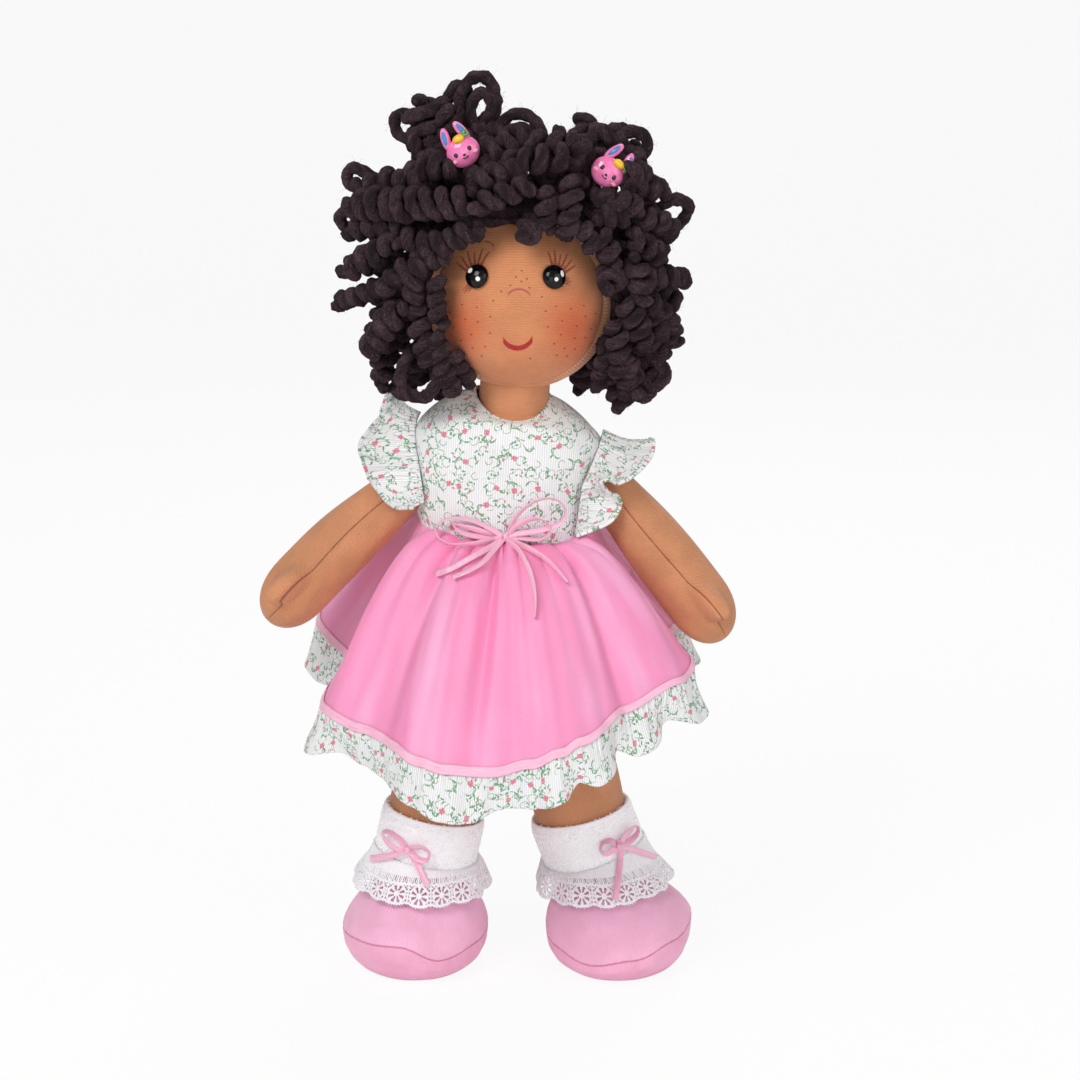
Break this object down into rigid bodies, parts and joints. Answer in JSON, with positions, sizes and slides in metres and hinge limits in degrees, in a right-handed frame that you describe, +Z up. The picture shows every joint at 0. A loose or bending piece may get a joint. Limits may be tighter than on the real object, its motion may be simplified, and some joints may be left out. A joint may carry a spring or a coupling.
{
  "type": "rag doll",
  "caption": "Soft stuffed cloth doll with yarn hair, dome eyes, a printed and pink dress and trimmed socks, jointed at neck, shoulders and hips.",
  "frame": {"origin": "middle of the doll's box on the ground, level with the flat undersides of its soles", "axes": "+Z up from the soles to the hair, -Y the way the face looks, +X to the doll's left hand, which is the viewer's right"},
  "size_m": [0.2365, 0.2135, 0.4518],
  "materials": {
    "skin_knit": "fine ribbed knit, matte",
    "yarn": "chunky twisted yarn, matte",
    "pink_cloth": "plain weave with a soft sheen",
    "satin_ribbon": "satin",
    "printed_cotton": "ribbed cotton with a small flower print, matte",
    "white_plush": "short pile",
    "cotton_lace": "open cotton lace, matte",
    "eye_plastic": "high gloss",
    "washer_plastic": "moulded",
    "charm_resin": "glossy painted resin"
  },
  "bodies": {
    "torso": {"torso": "skin_knit", "bodice": "printed_cotton", "sleeve_left": "printed_cotton", "sleeve_right": "printed_cotton", "skirt": "pink_cloth", "hem_ribbon": "satin_ribbon", "hem_frill": "printed_cotton", "waist_bow": "satin_ribbon"},
    "neck": {"neck": "skin_knit"},
    "head": {"head": "skin_knit", "eye_left": "eye_plastic", "eye_right": "eye_plastic", "eye_washer_left": "washer_plastic", "eye_washer_right": "washer_plastic", "hair_cap": "yarn", "hair_fringe": "yarn", "hair_back": "yarn", "hair_side_left": "yarn", "hair_side_right": "yarn", "hair_puff_left": "yarn", "hair_puff_right": "yarn", "hair_elastic_left": "satin_ribbon", "hair_elastic_right": "satin_ribbon", "rabbit_charm_left": "charm_resin", "rabbit_charm_right": "charm_resin"},
    "arm_left": {"arm_left": "skin_knit"},
    "arm_right": {"arm_right": "skin_knit"},
    "leg_left": {"leg_left": "skin_knit", "shoe_left": "pink_cloth", "sole_left": "pink_cloth", "cuff_left": "white_plush", "lace_left": "cotton_lace", "sock_bow_left": "satin_ribbon"},
    "leg_right": {"leg_right": "skin_knit", "shoe_right": "pink_cloth", "sole_right": "pink_cloth", "cuff_right": "white_plush", "lace_right": "cotton_lace", "sock_bow_right": "satin_ribbon"}
  },
  "joints": [
    {"name": "neck_nod", "type": "hinge", "parent": "torso", "child": "neck", "pos_m": [0.0083, 0.0013, 0.29], "axis": [1, 0, 0], "range_deg": [-12, 15]},
    {"name": "head_turn", "type": "hinge", "parent": "neck", "child": "head", "pos_m": [0.0113, 0.0013, 0.3427], "axis": [0, 0, 1], "range_deg": [-30, 30]},
    {"name": "shoulder_left", "type": "hinge", "parent": "torso", "child": "arm_left", "pos_m": [-0.0412, 0.0013, 0.251], "axis": [-1, 0, 0], "range_deg": [-20, 90], "deforming": ["sleeve_left"]},
    {"name": "shoulder_right", "type": "hinge", "parent": "torso", "child": "arm_right", "pos_m": [0.0516, 0.0013, 0.251], "axis": [-1, 0, 0], "range_deg": [-20, 90], "deforming": ["sleeve_right"]},
    {"name": "hip_left", "type": "hinge", "parent": "torso", "child": "leg_left", "pos_m": [-0.0162, 0.0013, 0.18], "axis": [-1, 0, 0], "range_deg": [-25, 30]},
    {"name": "hip_right", "type": "hinge", "parent": "torso", "child": "leg_right", "pos_m": [0.0258, 0.0013, 0.18], "axis": [-1, 0, 0], "range_deg": [-25, 30]}
  ]
}
